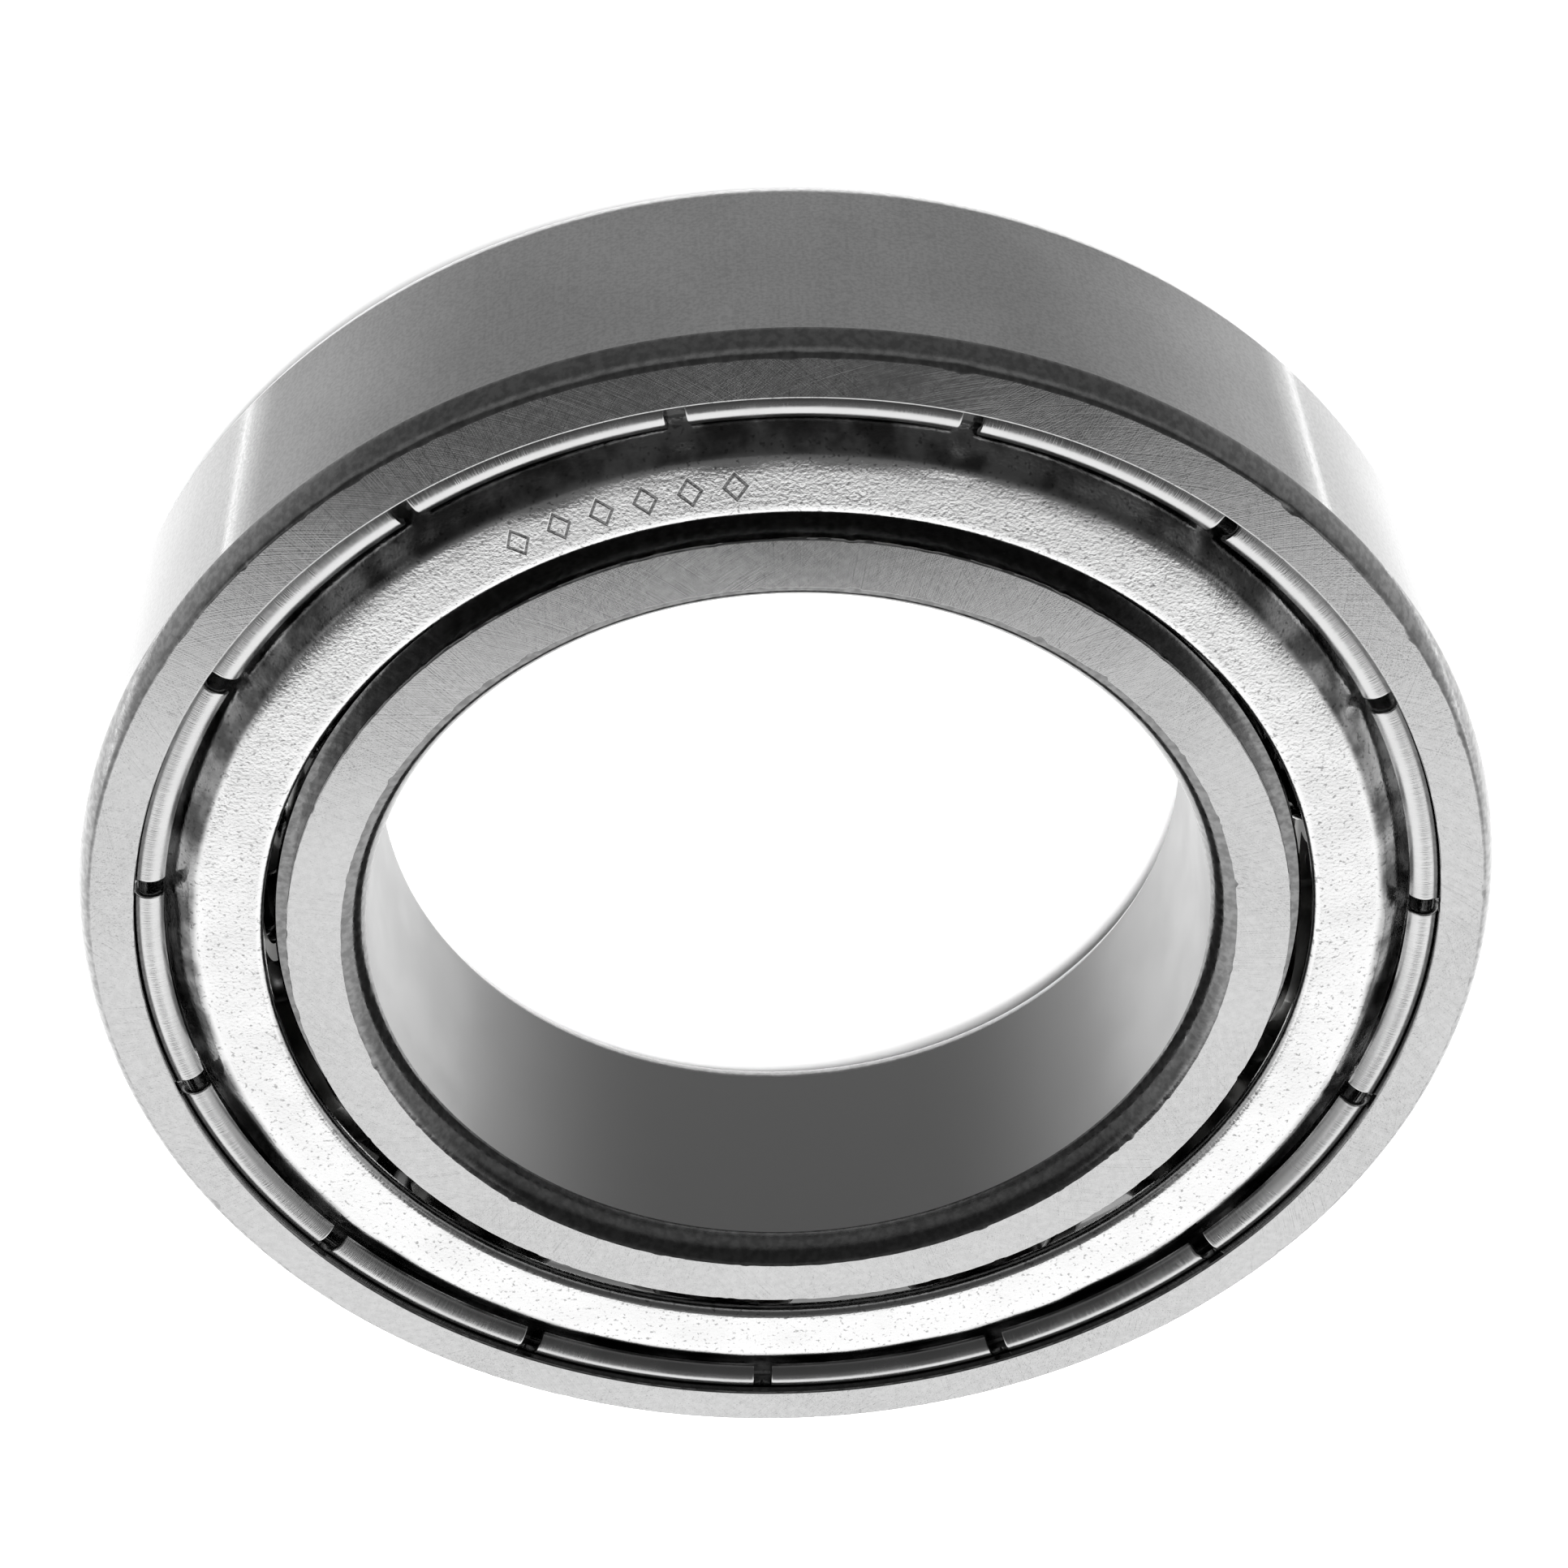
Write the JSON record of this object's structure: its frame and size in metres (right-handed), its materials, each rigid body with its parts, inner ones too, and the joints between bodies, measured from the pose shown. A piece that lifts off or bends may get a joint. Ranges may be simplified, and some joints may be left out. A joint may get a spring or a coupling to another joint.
{
  "type": "ball bearing",
  "caption": "Deep groove ball bearing: inner and outer rings, riveted sheet cage, balls and a slotted metal shield on one side.",
  "frame": {"origin": "centre of the bearing, on its axis, midway between the two side faces", "axes": "+Z along the bearing axis, out of the shielded side; ball_01 lies on +X"},
  "size_m": [0.075, 0.075, 0.016],
  "materials": {
    "ring_steel": "ground bearing steel, fine random cross-grain scratches",
    "shield_steel": "bright pressed sheet with a fine pebbled surface",
    "ball_steel": "polished bearing steel",
    "cage_steel": "tumbled pressed steel strip",
    "rivet_steel": "satin formed rivet heads"
  },
  "bodies": {
    "outer_group": {"outer_ring": "ring_steel", "shield": "shield_steel"},
    "inner_group": {"inner_ring": "ring_steel"},
    "cage_group": {"cage_half_shield_side": "cage_steel", "cage_half_open_side": "cage_steel", "rivet_01": "rivet_steel", "rivet_02": "rivet_steel", "rivet_03": "rivet_steel", "rivet_04": "rivet_steel", "rivet_05": "rivet_steel", "rivet_06": "rivet_steel", "rivet_07": "rivet_steel", "rivet_08": "rivet_steel", "rivet_09": "rivet_steel", "rivet_10": "rivet_steel", "rivet_11": "rivet_steel", "rivet_12": "rivet_steel", "rivet_13": "rivet_steel"},
    "ball_01_body": {"ball_01": "ball_steel"},
    "ball_02_body": {"ball_02": "ball_steel"},
    "ball_03_body": {"ball_03": "ball_steel"},
    "ball_04_body": {"ball_04": "ball_steel"},
    "ball_05_body": {"ball_05": "ball_steel"},
    "ball_06_body": {"ball_06": "ball_steel"},
    "ball_07_body": {"ball_07": "ball_steel"},
    "ball_08_body": {"ball_08": "ball_steel"},
    "ball_09_body": {"ball_09": "ball_steel"},
    "ball_10_body": {"ball_10": "ball_steel"},
    "ball_11_body": {"ball_11": "ball_steel"},
    "ball_12_body": {"ball_12": "ball_steel"},
    "ball_13_body": {"ball_13": "ball_steel"}
  },
  "joints": [
    {"name": "inner_ring_spin", "type": "hinge", "parent": "outer_group", "child": "inner_group", "pos_m": [0, 0, 0], "axis": [0, 0, 1], "continuous": true},
    {"name": "cage_orbit", "type": "hinge", "parent": "outer_group", "child": "cage_group", "pos_m": [0, 0, 0], "axis": [0, 0, 1], "continuous": true},
    {"name": "ball_01_roll", "type": "hinge", "parent": "cage_group", "child": "ball_01_body", "pos_m": [0.03, 0, 0], "axis": [0, 0, 1], "continuous": true},
    {"name": "ball_02_roll", "type": "hinge", "parent": "cage_group", "child": "ball_02_body", "pos_m": [0.02656, 0.01394, 0], "axis": [0, 0, 1], "continuous": true},
    {"name": "ball_03_roll", "type": "hinge", "parent": "cage_group", "child": "ball_03_body", "pos_m": [0.01704, 0.02469, 0], "axis": [0, 0, 1], "continuous": true},
    {"name": "ball_04_roll", "type": "hinge", "parent": "cage_group", "child": "ball_04_body", "pos_m": [0.00362, 0.02978, 0], "axis": [0, 0, 1], "continuous": true},
    {"name": "ball_05_roll", "type": "hinge", "parent": "cage_group", "child": "ball_05_body", "pos_m": [-0.01064, 0.02805, 0], "axis": [0, 0, 1], "continuous": true},
    {"name": "ball_06_roll", "type": "hinge", "parent": "cage_group", "child": "ball_06_body", "pos_m": [-0.02246, 0.01989, 0], "axis": [0, 0, 1], "continuous": true},
    {"name": "ball_07_roll", "type": "hinge", "parent": "cage_group", "child": "ball_07_body", "pos_m": [-0.02913, 0.00718, 0], "axis": [0, 0, 1], "continuous": true},
    {"name": "ball_08_roll", "type": "hinge", "parent": "cage_group", "child": "ball_08_body", "pos_m": [-0.02913, -0.00718, 0], "axis": [0, 0, 1], "continuous": true},
    {"name": "ball_09_roll", "type": "hinge", "parent": "cage_group", "child": "ball_09_body", "pos_m": [-0.02246, -0.01989, 0], "axis": [0, 0, 1], "continuous": true},
    {"name": "ball_10_roll", "type": "hinge", "parent": "cage_group", "child": "ball_10_body", "pos_m": [-0.01064, -0.02805, 0], "axis": [0, 0, 1], "continuous": true},
    {"name": "ball_11_roll", "type": "hinge", "parent": "cage_group", "child": "ball_11_body", "pos_m": [0.00362, -0.02978, 0], "axis": [0, 0, 1], "continuous": true},
    {"name": "ball_12_roll", "type": "hinge", "parent": "cage_group", "child": "ball_12_body", "pos_m": [0.01704, -0.02469, 0], "axis": [0, 0, 1], "continuous": true},
    {"name": "ball_13_roll", "type": "hinge", "parent": "cage_group", "child": "ball_13_body", "pos_m": [0.02656, -0.01394, 0], "axis": [0, 0, 1], "continuous": true}
  ],
  "couplings": [
    {"joint": "cage_orbit", "follows": "inner_ring_spin", "ratio": 0.42724},
    {"joint": "ball_01_roll", "follows": "inner_ring_spin", "ratio": -3.3633},
    {"joint": "ball_02_roll", "follows": "inner_ring_spin", "ratio": -3.3633},
    {"joint": "ball_03_roll", "follows": "inner_ring_spin", "ratio": -3.3633},
    {"joint": "ball_04_roll", "follows": "inner_ring_spin", "ratio": -3.3633},
    {"joint": "ball_05_roll", "follows": "inner_ring_spin", "ratio": -3.3633},
    {"joint": "ball_06_roll", "follows": "inner_ring_spin", "ratio": -3.3633},
    {"joint": "ball_07_roll", "follows": "inner_ring_spin", "ratio": -3.3633},
    {"joint": "ball_08_roll", "follows": "inner_ring_spin", "ratio": -3.3633},
    {"joint": "ball_09_roll", "follows": "inner_ring_spin", "ratio": -3.3633},
    {"joint": "ball_10_roll", "follows": "inner_ring_spin", "ratio": -3.3633},
    {"joint": "ball_11_roll", "follows": "inner_ring_spin", "ratio": -3.3633},
    {"joint": "ball_12_roll", "follows": "inner_ring_spin", "ratio": -3.3633},
    {"joint": "ball_13_roll", "follows": "inner_ring_spin", "ratio": -3.3633}
  ]
}
